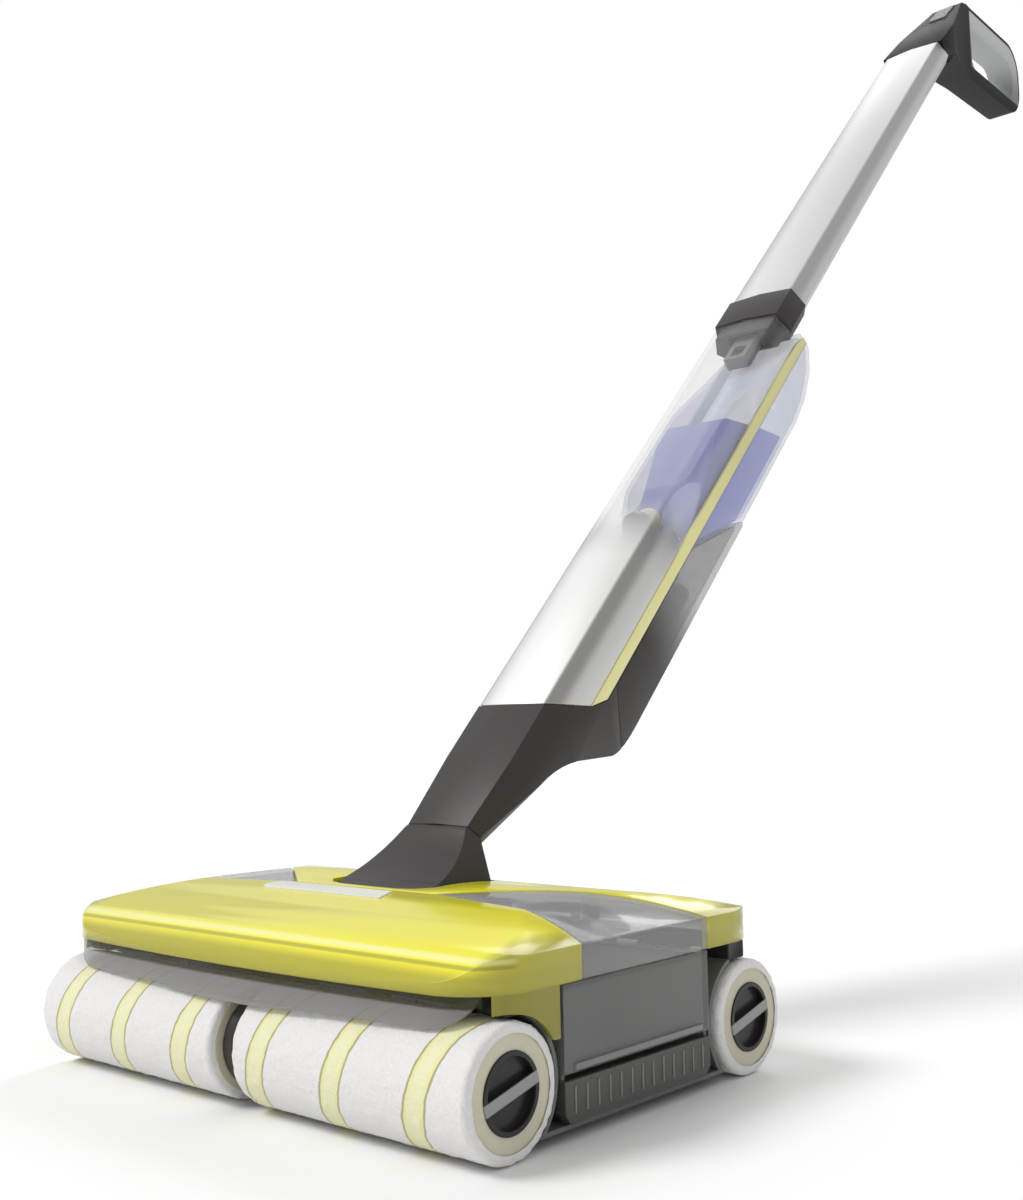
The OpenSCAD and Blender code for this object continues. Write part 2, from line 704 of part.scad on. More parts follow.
module neck() color("dimgray") on_stick() difference() {
    union() {
        neck_root();
        body_block([
            [-front_t - 2, root_s], each instep, for (i = [0:4]) belly[i], panel_line[0],
            shell_edge[2], shell_edge[1], shell_edge[0]
        ]);
        // Spigot inside the front shell
        body_block([
            [-front_t - 2, shell_s - 16], [band_front, shell_s + 10], [band_front, shell_s + 34],
            [-front_t - 2, shell_s + 8]
        ], shell_wall + seam_gap);
    }
    body_block([
        [-front_t - 2, stub_top + 6], [6, stub_top + 6], [9, 90], [25, shell_s - 3], [41, shell_s + 16],
        [49, shell_s + 24], [52, shell_s + 29], [52, shell_s + 80], [-front_t - 2, shell_s + 80]
    ], shell_wall + seam_gap + 2);
    translate([0, stub_t, seam_s - 1]) cylinder(r = stub_r + run_fit, h = stub_top - seam_s + 8);
    translate([0, stub_t, clip_s - 0.4]) cylinder(r = stub_r + 2.5 + 0.3, h = 3.3);
}

module front_shell() color("silver") on_stick() difference() {
    body_block([
        shell_edge[0] + [0, seam_gap], shell_edge[1] + [0, seam_gap], [band_front, collar_s], [-front_t - 2, collar_s]
    ]);
    body_block([
        [-front_t, 0], [housing_t, 0], [housing_t, 2 * collar_s], [-front_t, 2 * collar_s]
    ], shell_wall);
}

// Bands along the shell's two rear edges, tapered off at the foot
module trim_bands() color("lemonchiffon") on_stick() difference() {
    body_block([
        shell_edge[1] + [seam_gap, 2 * seam_gap], shell_edge[2] + [0, 2 * seam_gap],
        [band_back, tank_top - 3], [band_front + 3, tank_top - 3], [band_front + seam_gap, collar_s - 3]
    ]);
    body_block([
        [-front_t, 0], [housing_t, 0], [housing_t, 2 * collar_s], [-front_t, 2 * collar_s]
    ], shell_wall + 0.4);
}

module rear_housing() color("dimgray") on_stick() difference() {
    body_block([
        panel_line[0] + [seam_gap, 0.4], panel_line[1] + [0, 0.4], for (i = [5:8]) belly[i],
        [housing_t, seat_end[1] - 3], seat_end, [band_back + seam_gap, seat_s + 0.3]
    ]);
    body_block([
        [0, 0], [housing_t - 9, 0], [housing_t - 9, shell_s + 30], [housing_t - 2.5, shell_s + 56],
        [housing_t - 2.5, seat_end[1] - 8],
        seat_end + [-3, -8], [band_back, seat_s - 6], [0, seat_s - 6]
    ], 2.5);
    translate([0, housing_t - 10, shell_s + 70]) rotate([-90, 0, 0]) cylinder(r = 5, h = 20);
}

module charging_socket() color("black") on_stick() translate([0, 0, shell_s + 70]) rotate([-90, 0, 0])
    difference() {
        union() {
            translate([0, 0, housing_t - 10]) cylinder(r = 5, h = 9.6);
            translate([0, 0, housing_t - 12.5]) cylinder(r = 6.4, h = 9);
        }
        translate([0, 0, housing_t - 9.4]) cylinder(r = jack_r, h = 20);
    }

battery_s = [shell_s + 92, seat_s - 10];
module battery_pack() color("darkslateblue") on_stick() {
    w = stick_x - 11;
    for (x = [-w / 2, w / 2]) for (t = [band_back + 9.6, band_back + 26])
        translate([x, t, battery_s[0]]) cylinder(r = 8, h = battery_s[1] - battery_s[0]);
    translate([-w + 1, band_back + 9, battery_s[0] + 4]) cube([2 * w - 2, 17, 3]);
}

module control_board() color("darkgreen") on_stick() {
    translate([-19, 17, shell_s + 64]) cube([38, 1.6, 76]);
    for (s = [8, 30, 52]) translate([-10, 13, shell_s + 64 + s]) cube([20, 4, 11]);
    translate([12, 11, shell_s + 70]) cube([5, 6, 12]);
}

module water_pump() color("black") on_stick() translate([0, stub_t, pump_s]) {
    cylinder(r = pump_r, h = pump_h - 12);
    translate([-9, -pump_r, pump_h - 12]) cube([18, 2 * pump_r, 12]);
}

// One hose from the swivel to the pump and one from the pump to the valve
module stick_hoses() color("steelblue") on_stick() {
    pipe([[0, stub_t, stub_top + 0.3], [0, stub_t, pump_s - 0.2]], hose_r);
    pipe([
        [0, stub_t, pump_s + pump_h + 0.2],
        [0, spout_t - (valve_drop + 1.3) * sin(seat_tilt), spout_s - (valve_drop + 1.3) * cos(seat_tilt)]
    ], hose_r);
}

module valve_seat() color("gray") on_spout() difference() {
    union() {
        translate([0, 0, -valve_drop]) cylinder(r = 10, h = 5);
        translate([0, 0, -valve_drop]) cylinder(r = cap_bore, h = 14);
    }
    translate([0, 0, -valve_drop - 1]) cylinder(r = 1.6, h = 30);
}

// Outline of the fresh-water tank, back from the centre line and up the stick
tank_front = -4;
tank_lift = 0.45 / sin(seat_tilt);
tank_outline = [
    [tank_front, seat_s + 33], [band_back, seat_s + tank_lift], seat_end + [0, tank_lift],
    [housing_t - 2, tank_top - 50], [housing_t - 6, tank_top - 27], [housing_t - 17, tank_top - 8],
    [housing_t - 31, tank_top], [back_t + 6, tank_top], [back_t + 3, tank_top - 25],
    [back_t - 3, tank_top - 60], [tank_front + 3, tank_top - 100], [tank_front, tank_top - 115]
];

// Pulls an outline in by g towards the middle of the tank
function drawn_in(outline, g) = [for (p = outline) [
    p[0] < 20 ? p[0] + g : (p[0] > 40 ? p[0] - g : p[0]),
    p[1] < seat_s + 50 ? p[1] + (p[0] > 15 ? g / sin(seat_tilt) : g) : (p[1] > tank_top - 30 ? p[1] - g : p[1])
]];

module tank_block(g = 0) intersection() {
    along_x(-stick_x, stick_x) polygon(drawn_in(tank_outline, g));
    linear_extrude(2 * collar_s) polygon([
        [-tank_x + 2.9 + g, tank_front], [tank_x - 2.9 - g, tank_front], [tank_x - g, 4.5], [tank_x - g, band_back + 0.5],
        [stick_x - 1.2 - g, band_back + 0.8], [stick_x - 8 - g, housing_t],
        [-stick_x + 8 + g, housing_t], [-stick_x + 1.2 + g, band_back + 0.8], [-tank_x + g, band_back + 0.5],
        [-tank_x + g, 4.5]
    ]);
}

module water_tank() color("lightsteelblue", 0.5) difference() {
    union() {
        on_stick() tank_block();
        on_spout() translate([0, 0, -13]) cylinder(r = neck_r, h = 16);
    }
    on_stick() tank_block(2);
    on_spout() translate([0, 0, -20]) cylinder(r = 4.5, h = 26);
}

module tank_cap() color("darkgray") on_spout() difference() {
    union() {
        translate([0, 0, -15]) cylinder(r = 8, h = 11);
        for (i = [0:3]) translate([0, 0, -15 + 2.8 * i]) cylinder(r = 9, h = 1.4);
    }
    translate([0, 0, -13.2]) cylinder(r = neck_r + run_fit, h = 20);
    translate([0, 0, -20]) cylinder(r = cap_bore + run_fit, h = 30);
}

// Sprung catch under the collar; its pin belongs to the collar
latch_s = collar_s - 7;
module tank_latch() color("dimgray") on_stick() difference() {
    union() {
        translate([-9, -3, latch_s - 28]) cube([18, 9.5, 28]);
        translate([-9, 1.5, latch_s]) rotate([0, 90, 0]) cylinder(r = 4, h = 18);
    }
    translate([-10, 1.5, latch_s]) rotate([0, 90, 0]) cylinder(r = 1.5 + run_fit, h = 20);
    translate([-5, -4, latch_s - 24]) cube([10, 6, 12]);
}

module collar() color("dimgray") on_stick() {
    difference() {
        union() {
            translate([0, 0, collar_s + seam_gap]) linear_extrude(collar_h) tube_section(-1.2);
            translate([0, 0, collar_s - 12]) linear_extrude(13) tube_section(shell_wall + seam_gap);
        }
        translate([0, 0, tube_s - 18]) linear_extrude(60) tube_section(-0.05);
        translate([-12, -7, collar_s - 20]) cube([24, back_t - 4 + 7, 60]);
    }
    translate([-13, 1.5, latch_s]) rotate([0, 90, 0]) cylinder(r = 1.5, h = 26);
}

module upper_tube() color("gainsboro") on_stick() difference() {
    translate([0, 0, tube_s - 18]) linear_extrude(handle_s - tube_s + 18) tube_section();
    translate([0, 0, tube_s - 30]) linear_extrude(2 * tube_len) tube_section(shell_wall - 0.4);
}

// Side outline of the handle, as (back, up) from the loop's root
loop_top = 46;
loop_end = 29;
hole_r = 17;
arm_t = 13;
module loop_hole() {
    y0 = 61;
    y1 = loop_len - grip_t + 2;
    z0 = loop_top - loop_h + arm_t;
    z1 = loop_top - grip_t;
    square_r = hole_r / 2;
    translate([y0, z0 + square_r]) square([y1 - y0 - hole_r, z1 - z0 - 2 * square_r]);
    translate([y0 + square_r, z0]) square([y1 - y0 - hole_r - square_r, z1 - z0]);
    translate([y0, z0 + hole_r]) square([y1 - y0, z1 - z0 - 2 * hole_r]);
    for (z = [z0 + square_r, z1 - square_r]) translate([y0 + square_r, z]) circle(r = square_r);
    for (z = [z0 + hole_r, z1 - hole_r]) translate([y1 - hole_r, z]) circle(r = hole_r);
}

module handle_side() difference() {
    union() {
        polygon([
            [-46, -32], [12, 19], [38, loop_top - 4], [52, loop_top], [loop_len - loop_end, loop_top],
            [loop_len - loop_end, loop_top - loop_h], [-10, loop_top - loop_h - 2], [-30, -47.3]
        ]);
        translate([60, loop_top - loop_h + loop_end])
            square([loop_len - 60, loop_h - 2 * loop_end]);
        for (z = [loop_top - loop_end, loop_top - loop_h + loop_end])
            translate([loop_len - loop_end, z]) circle(r = loop_end);
    }
    loop_hole();
}

module handle() color("black") difference() {
    union() {
        intersection() {
            on_loop() along_x(-stick_x, stick_x) handle_side();
            on_loop() translate([0, 0, -70]) linear_extrude(200) polygon([
                [-stick_x + 1, -60], [stick_x - 1, -60], [stick_x - 3, -12], [grip_x + 2, 34],
                [grip_x, 60], [grip_x - 1, loop_len + 5], [-grip_x + 1, loop_len + 5],
                [-grip_x, 60], [-grip_x - 2, 34], [-stick_x + 3, -12]
            ]);
            on_stick() translate([0, 0, handle_s + seam_gap]) linear_extrude(400) square(500, center = true);
        }
        on_stick() translate([0, 0, handle_s - 20]) linear_extrude(22) tube_section(shell_wall - 0.4 + seam_gap);
    }
    on_loop() button_block(slide_gap * 0.7, 6);
}

// Block of the button's outline, grown by g, that reaches a depth below the handle's sloping front
module button_block(g, depth) translate([0, 24, 31]) rotate([45, 0, 0])
    translate([-8 - g, -15 - g, -depth]) cube([16 + 2 * g, 30 + 2 * g, depth + 8]);

module power_button() color("gray") on_loop() intersection() {
    button_block(0, 4);
    translate([0, 0, 1.2]) along_x(-stick_x, stick_x) handle_side();
}

module left_waste_tank() color("gray", 0.6) mirror([1, 0, 0]) waste_tank();
module right_waste_tank() color("gray", 0.6) waste_tank();
module left_waste_lid() color("gray", 0.6) mirror([1, 0, 0]) waste_lid();
module right_waste_lid() color("gray", 0.6) waste_lid();

// Drawer tanks that slide out sideways between the rollers
waste_y = axle_y - fender_out - slide_gap - 1.5;
waste_z = tray_z + tray_t + slide_gap;
waste_top = lip_z - 1 - slide_gap - waste_lid_t;
module waste_tank() difference() {
    along_x(waste_x, half_w - 2) polygon([
        [-waste_y + 4, waste_z], [waste_y - 4, waste_z], [waste_y, waste_z + 4], [waste_y, waste_top],
        [-waste_y, waste_top], [-waste_y, waste_z + 4]
    ]);
    along_x(waste_x + waste_wall, half_w - 2 - waste_wall) polygon([
        [-waste_y + 4 + waste_wall / 2, waste_z + waste_wall], [waste_y - 4 - waste_wall / 2, waste_z + waste_wall],
        [waste_y - waste_wall, waste_z + 4 + waste_wall / 2], [waste_y - waste_wall, waste_top + 1],
        [-waste_y + waste_wall, waste_top + 1], [-waste_y + waste_wall, waste_z + 4 + waste_wall / 2]
    ]);
    // Finger ledge along the outer end
    translate([half_w - 4, -waste_y - 1, axle_z - 3]) cube([10, 2 * waste_y + 2, 3]);
}

module waste_lid() difference() {
    translate([waste_x, -waste_y, waste_top]) cube([half_w - 2 - waste_x, 2 * waste_y, waste_lid_t]);
    for (y = [-1, 1]) translate([waste_x + 12, y * (waste_y - 12) - 6, waste_top - 1])
        cube([half_w - waste_x - 28, 12, waste_lid_t + 2]);
}

base_tray();
gear_case_left();
gear_case_right();
case_screws();
shaft_bushes();
idler_pins();
drive_motor();
motor_pinion();
front_drive();
rear_drive();
idler(1);  // idler_1
idler(2);  // idler_2
idler(3);  // idler_3
idler(4);  // idler_4
front_left_core();
front_left_sleeve();
front_left_cap();
front_right_core();
front_right_sleeve();
front_right_cap();
rear_left_core();
rear_left_sleeve();
rear_left_cap();
rear_right_core();
rear_right_sleeve();
rear_right_cap();
front_cover();
rear_cover();
side_windows();
splash_guards();
front_water_bar();
rear_water_bar();
spray_combs();
water_hoses();
wringer_strips();
ankle_cradle();
hinge_pin();
left_waste_tank();
left_waste_lid();
right_waste_tank();
right_waste_lid();
boot();
swivel_clip();
neck();
front_shell();
trim_bands();
rear_housing();
battery_pack();
control_board();
water_pump();
stick_hoses();
valve_seat();
charging_socket();
water_tank();
tank_cap();
tank_latch();
collar();
upper_tube();
handle();
power_button();
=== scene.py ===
import json
import math

import bpy
from mathutils import Matrix, Vector

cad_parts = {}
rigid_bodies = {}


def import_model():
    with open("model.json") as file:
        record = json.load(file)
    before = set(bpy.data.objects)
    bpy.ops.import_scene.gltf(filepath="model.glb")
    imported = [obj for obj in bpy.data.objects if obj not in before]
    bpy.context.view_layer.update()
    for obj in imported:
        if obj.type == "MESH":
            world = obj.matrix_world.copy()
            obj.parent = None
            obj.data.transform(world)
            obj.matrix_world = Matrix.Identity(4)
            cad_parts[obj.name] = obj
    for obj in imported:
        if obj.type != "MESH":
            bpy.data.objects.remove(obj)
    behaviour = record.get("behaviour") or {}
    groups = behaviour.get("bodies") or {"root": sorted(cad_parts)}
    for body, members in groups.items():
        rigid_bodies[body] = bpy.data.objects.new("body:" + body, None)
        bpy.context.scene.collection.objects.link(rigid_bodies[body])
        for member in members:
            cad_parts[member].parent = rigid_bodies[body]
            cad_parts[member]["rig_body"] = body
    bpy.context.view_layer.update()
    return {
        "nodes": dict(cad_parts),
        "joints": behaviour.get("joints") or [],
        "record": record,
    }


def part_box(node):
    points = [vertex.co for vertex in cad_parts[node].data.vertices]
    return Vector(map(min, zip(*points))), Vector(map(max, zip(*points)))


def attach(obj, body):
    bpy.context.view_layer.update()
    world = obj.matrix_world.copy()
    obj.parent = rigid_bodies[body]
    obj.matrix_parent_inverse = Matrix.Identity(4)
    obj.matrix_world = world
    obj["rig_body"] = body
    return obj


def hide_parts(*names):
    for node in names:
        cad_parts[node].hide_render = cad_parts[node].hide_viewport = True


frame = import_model()
nodes = frame["nodes"]
joints = {j["name"]: j for j in frame["joints"]}

# the stick's own directions: up along it and back towards its rear face
hinge = Vector(joints["lean"]["pos_m"])
stickUp = Vector(joints["swivel"]["axis"]).normalized()
stickBack = Vector((0, stickUp.z, -stickUp.y))
rearAxle = Vector(joints["rear_spin"]["pos_m"])


def onStick(x, back, up):
    return hinge + Vector((x, 0, 0)) + stickBack * back + stickUp * up


def corners(name):
    low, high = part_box(name)
    return Vector(low), Vector(high)


print("frame loaded:", len(nodes), "nodes")


# ---- shader values and finishes

class Signal:  # one shader value, for plain arithmetic
    def __init__(self, finish, socket):
        self.finish = finish
        self.socket = socket

    def __add__(self, other):
        return self.finish.maths("ADD", self, other)

    def __radd__(self, other):
        return self.finish.maths("ADD", other, self)

    def __sub__(self, other):
        return self.finish.maths("SUBTRACT", self, other)

    def __rsub__(self, other):
        return self.finish.maths("SUBTRACT", other, self)

    def __mul__(self, other):
        return self.finish.maths("MULTIPLY", self, other)

    def __rmul__(self, other):
        return self.finish.maths("MULTIPLY", other, self)

    def __truediv__(self, other):
        return self.finish.maths("DIVIDE", self, other)


class Finish:  # one material, with short ways to add its nodes
    def __init__(self, name):
        self.material = bpy.data.materials.new(name)
        self.material.use_nodes = True
        self.tree = self.material.node_tree
        self.tree.nodes.clear()
        self.spot = None

    def node(self, kind, settings=None, sockets=None, out=0):
        made = self.tree.nodes.new(kind)
        for key, value in (settings or {}).items():
            setattr(made, key, value)
        for key, value in (sockets or {}).items():
            if isinstance(value, Signal):
                self.tree.links.new(value.socket, made.inputs[key])
            else:
                made.inputs[key].default_value = value
        return Signal(self, made.outputs[out]) if len(made.outputs) else None

    def maths(self, operation, first, second=0.0):
        return self.node("ShaderNodeMath", {"operation": operation}, {0: first, 1: second})

    def along(self):  # x, y and z of the point, in metres
        if self.spot is None:
            place = self.node("ShaderNodeTexCoord", out="Object")
            split = self.node("ShaderNodeSeparateXYZ", sockets={0: place}).socket.node
            self.spot = [Signal(self, split.outputs[i]) for i in range(3)]
            self.place = place
        return self.spot

    def spotSocket(self):
        self.along()
        return self.place

    def up(self):  # distance up the stick from its hinge
        y, z = self.along()[1:]
        return (y - hinge.y) * stickUp.y + (z - hinge.z) * stickUp.z

    def back(self):  # distance behind the stick's centre line
        y, z = self.along()[1:]
        return (y - hinge.y) * stickBack.y + (z - hinge.z) * stickBack.z

    def ramp(self, value, low, high, start=0.0, end=1.0):
        return self.node(
            "ShaderNodeMapRange",
            {"interpolation_type": "SMOOTHSTEP"},
            {"Value": value, "From Min": low, "From Max": high, "To Min": start, "To Max": end},
        )

    def band(self, value, middle, half, edge):  # 1 inside the band, 0 outside
        return self.ramp(self.maths("ABSOLUTE", value - middle), half, half + edge, 1, 0)

    def noise(self, scale, detail=2.0, roughness=0.5, stretch=None):
        self.along()
        spot = self.place
        if stretch:
            spot = self.node("ShaderNodeMapping", sockets={"Vector": spot, "Scale": stretch})
        return self.node(
            "ShaderNodeTexNoise",
            sockets={"Vector": spot, "Scale": scale, "Detail": detail, "Roughness": roughness},
        )

    def mix(self, first, second, amount):
        return self.node("ShaderNodeMix", {"data_type": "RGBA"}, {0: amount, 6: first, 7: second}, out=2)

    def bump(self, height, strength, depth, edge=0.0):
        sockets = {"Height": height, "Strength": strength, "Distance": depth}
        if edge:
            sockets["Normal"] = self.node("ShaderNodeBevel", {"samples": 4}, {"Radius": edge})
        return self.node("ShaderNodeBump", sockets=sockets)

    def done(self, sockets):
        skin = self.node("ShaderNodeBsdfPrincipled", sockets=sockets)
        self.node("ShaderNodeOutputMaterial", sockets={"Surface": skin})
        return self.material


def colour(red, green, blue):
    return (red, green, blue, 1.0)


def mouldedPlastic(name, tone, roughness=0.42, grain=0.00004, edge=0.0006, shine=0.5):
    f = Finish(name)
    cloud = f.noise(38, 3)
    fine = f.noise(2600, 2)
    lighter = colour(*[min(1, c * 1.18 + 0.004) for c in tone])
    return f.done({
        "Base Color": f.mix(colour(*tone), lighter, cloud),
        "Roughness": roughness + 0.1 * (fine - 0.5),
        "Specular IOR Level": shine,
        "Normal": f.bump(fine, 0.5, grain, edge),
    })


def brushedMetal(name, tone, roughness=0.3, stretch=(1, 40, 40)):
    f = Finish(name)
    lines = f.noise(90, 3, 0.6, stretch)
    return f.done({
        "Base Color": f.mix(colour(*[c * 0.86 for c in tone]), colour(*tone), lines),
        "Metallic": 1.0,
        "Roughness": roughness + 0.16 * (lines - 0.5),
        "Normal": f.bump(lines, 0.3, 0.00003, 0.0004),
    })


def yellowGloss():
    f = Finish("yellow_gloss")
    x, y, z = f.along()
    cloud = f.noise(12, 2)
    fine = f.noise(900, 2)
    ends = f.ramp(f.maths("ABSOLUTE", x), 0.138, 0.152)
    lip = f.ramp(z, 0.0660, 0.0715, 1, 0)
    cheek = f.ramp(z, 0.0650, 0.0662, 1, 0)
    thin = f.maths("MAXIMUM", ends * 0.9, lip) * (1 - cheek)
    front = f.ramp(f.maths("ABSOLUTE", y), 0.080, 0.086)
    # painted shade: a dark line just under the ridge, standing for the shadow of a groove
    grooveShadow = f.band(z, 0.0763, 0.0004, 0.0006) * front
    # painted highlight: a pale line along the ridge
    ridgeHighlight = f.band(z, 0.0786, 0.0005, 0.0008) * front
    # painted shade: the lower front band darkens towards the lip
    lowBandShade = f.ramp(z, 0.0715, 0.0765, 1, 0)
    body = f.mix(colour(0.83, 0.76, 0.004), colour(0.89, 0.83, 0.008), cloud)
    body = f.mix(body, colour(0.42, 0.375, 0.005), lowBandShade * 0.95)
    rim = f.mix(body, colour(0.58, 0.54, 0.05), thin)
    shadowLined = f.mix(rim, colour(0.36, 0.33, 0.02), grooveShadow * 0.75)
    highlighted = f.mix(shadowLined, colour(0.90, 0.89, 0.36), ridgeHighlight * 0.8)
    return f.done({
        "Base Color": f.mix(highlighted, colour(0.33, 0.30, 0.01), cheek),
        "Roughness": 0.24 + 0.06 * (cloud - 0.5),
        "Alpha": 1 - 0.45 * thin - 0.28 * cheek,
        "Coat Weight": 0.6,
        "Coat Roughness": 0.12,
        "Normal": f.bump(fine, 0.25, 0.00002),
    })


def shroudClear():
    f = Finish("shroud_clear")
    z = f.along()[2]
    cloud = f.noise(30, 2)
    fine = f.noise(500, 2)
    # painted shade: a dark olive band along the top of the shroud, under the hood's lip
    strip = f.ramp(z, 0.0595, 0.0610)
    foot = f.ramp(z, 0.0500, 0.0525, 1, 0)
    grey = f.mix(colour(0.27, 0.265, 0.26), colour(0.33, 0.325, 0.32), cloud)
    return f.done({
        "Base Color": f.mix(grey, colour(0.060, 0.055, 0.016), strip),
        "Roughness": 0.12 + 0.05 * (cloud - 0.5),
        "Alpha": 0.52 - 0.06 * strip + 0.15 * foot,
        "Normal": f.bump(fine, 0.15, 0.00002),
    })


def drawerClear():
    f = Finish("drawer_clear")
    z = f.along()[2]
    cloud = f.noise(28, 3)
    fine = f.noise(400, 2)
    low = f.ramp(z, 0.0245, 0.0285, 1, 0)
    grey = f.mix(colour(0.26, 0.26, 0.255), colour(0.36, 0.36, 0.355), cloud)
    return f.done({
        "Base Color": f.mix(grey, colour(0.075, 0.080, 0.070), low * 0.9),
        "Roughness": 0.10 + 0.08 * cloud,
        "Alpha": 0.36 + 0.38 * low,
        "Normal": f.bump(fine, 0.15, 0.00002),
    })


def creaseShade(f):  # 1 on the soft dark line beside each front corner of the stick
    side = f.maths("ABSOLUTE", f.along()[0])
    line = f.ramp(f.maths("ABSOLUTE", side - 0.0262), 0.0006, 0.0042, 1, 0)
    return line * f.ramp(f.back(), -0.004, 0.004, 1, 0)


def satinSilver():
    f = Finish("satin_silver")
    flakes = f.noise(1800, 2)
    cloud = f.noise(9, 2)
    x = f.along()[0]
    ghost = f.ramp(f.up(), 0.250, 0.312, 1.0, 0.10)
    # painted shade: the right side of the shell is darkened towards a mid grey
    across = f.ramp(x, -0.026, 0.026)
    # painted shade: the left edge of the shell, where it turns away, is darkened
    edge = f.ramp(x, -0.0275, -0.0120, 1, 0)
    pale = f.mix(colour(0.80, 0.80, 0.80), colour(0.86, 0.86, 0.86), cloud)
    tone = f.mix(pale, colour(0.58, 0.575, 0.57), across * 0.75)
    tone = f.mix(tone, colour(0.46, 0.46, 0.46), edge * 0.7)
    return f.done({
        "Base Color": f.mix(tone, colour(0.20, 0.195, 0.19), creaseShade(f) * 0.7),
        "Metallic": 0.35,
        "Roughness": 0.38 + 0.08 * (flakes - 0.5),
        "Alpha": ghost,
        "Normal": f.bump(flakes, 0.2, 0.00002),
    })


def anodisedTube():
    f = Finish("anodised_tube")
    lines = f.noise(60, 3, 0.6, (40, 1, 1))
    flakes = f.noise(2200, 2)
    x = f.along()[0]
    # painted shade: the tube's right side is darkened towards a mid grey
    across = f.ramp(x, -0.027, 0.024)
    # painted shade: the tube's left edge, where it turns away, is darkened
    edge = f.ramp(x, -0.0275, -0.0120, 1, 0)
    pale = f.mix(colour(0.74, 0.735, 0.73), colour(0.80, 0.80, 0.80), lines)
    tone = f.mix(pale, colour(0.62, 0.62, 0.62), across * 0.8)
    tone = f.mix(tone, colour(0.42, 0.42, 0.42), edge * 0.75)
    return f.done({
        "Base Color": f.mix(tone, colour(0.22, 0.22, 0.22), creaseShade(f) * 0.5),
        "Metallic": 0.4,
        "Roughness": 0.36 + 0.08 * (flakes - 0.5),
        "Normal": f.bump(lines, 0.2, 0.00002),
    })


def housingPlastic():
    f = Finish("housing_plastic")
    fine = f.noise(2600, 2)
    cloud = f.noise(38, 3)
    fade = f.ramp(f.up(), 0.215, 0.295)
    dark = f.mix(colour(0.038, 0.035, 0.034), colour(0.049, 0.045, 0.044), cloud)
    return f.done({
        "Base Color": f.mix(dark, colour(0.46, 0.45, 0.45), fade),
        "Roughness": 0.40 + 0.1 * (fine - 0.5),
        "Specular IOR Level": 0.25,
        "Alpha": 1 - 0.55 * fade,
        "Normal": f.bump(fine, 0.5, 0.00004),
    })


def fleecePile():
    f = Finish("fleece_pile")
    x, y, z = f.along()
    side = f.maths("SIGN", y)
    spread = y - side * rearAxle.y
    turn = f.maths("ARCTAN2", z - rearAxle.z, 0 - spread) / (2 * math.pi)
    wander = 0.04 * (f.noise(60, 2) - 0.5)
    first = f.ramp(x, -0.001, 0.001, -0.131, 0.1256)  # middle of the outermost stripe
    row = f.maths("FRACT", (x - first) / 0.050 - turn + wander + 20.5)
    middle = f.ramp(f.maths("ABSOLUTE", x), 0.1470, 0.1485, 1, 0)
    stripe = f.band(row, 0.5, 0.095, 0.02) * middle
    edges = f.band(f.maths("ABSOLUTE", row - 0.5), 0.118, 0.008, 0.010) * middle
    pile = f.noise(700, 4, 0.7)
    tufts = f.noise(230, 3, 0.6)
    white = f.mix(colour(0.68, 0.67, 0.66), colour(0.88, 0.87, 0.86), pile)
    cream = f.mix(colour(0.76, 0.74, 0.42), colour(0.87, 0.86, 0.60), pile)
    olive = f.mix(white, colour(0.36, 0.32, 0.10), edges * 0.9)
    glow = f.band(f.maths("ABSOLUTE", row - 0.5), 0.090, 0.004, 0.022) * middle
    return f.done({
        "Base Color": f.mix(olive, f.mix(cream, colour(0.80, 0.76, 0.24), glow * 0.6), stripe),
        "Roughness": 0.95,
        "Sheen Weight": 0.4,
        "Sheen Roughness": 0.5,
        "Normal": f.bump(pile * 0.5 + tufts * 0.5, 0.9, 0.0011),
    })


def clearPlastic(name, tone, alpha, roughness=0.08, edge=0.0):
    f = Finish(name)
    cloud = f.noise(30, 2)
    fine = f.noise(500, 2)
    rim = f.node("ShaderNodeLayerWeight", sockets={"Blend": 0.35}, out="Facing")
    return f.done({
        "Base Color": f.mix(colour(*tone), colour(*[min(1, c * 1.15) for c in tone]), cloud),
        "Roughness": roughness + 0.04 * (cloud - 0.5),
        "Alpha": f.maths("MINIMUM", alpha + 0.45 * rim * rim, 1.0),
        "Normal": f.bump(fine, 0.15, 0.00002, edge),
    })


def creamTrim():
    f = Finish("cream_trim")
    line = f.band(f.back(), 0.0248, 0.0004, 0.0003)
    cloud = f.noise(25, 2)
    fine = f.noise(1500, 2)
    base = f.mix(colour(0.80, 0.76, 0.30), colour(0.87, 0.84, 0.42), cloud)
    return f.done({
        "Base Color": f.mix(base, colour(0.03, 0.03, 0.03), line),
        "Roughness": 0.3 + 0.1 * (fine - 0.5),
        "Alpha": f.ramp(f.up(), 0.30, 0.42, 1.0, 0.8),
        "Coat Weight": 0.4,
        "Normal": f.bump(fine, 0.2, 0.00002, 0.0004),
    })


def capBlack():
    f = Finish("cap_black")
    x, y, z = f.along()
    side = f.maths("SIGN", y)
    across = y - side * rearAxle.y
    tilt = math.radians(14)
    bar = f.maths("ABSOLUTE", (z - rearAxle.z) * math.cos(tilt) - across * math.sin(tilt))
    light = f.ramp(bar, 0.0022, 0.0027, 1, 0) * f.ramp(f.maths("ABSOLUTE", x), 0.1505, 0.1512)
    fine = f.noise(1600, 3)
    return f.done({
        "Base Color": f.mix(colour(0.022, 0.020, 0.019), colour(0.30, 0.30, 0.30), light),
        "Roughness": 0.3 + 0.12 * (fine - 0.5),
        "Specular IOR Level": 0.3,
        "Normal": f.bump(fine, 0.4, 0.00004, 0.0006),
    })


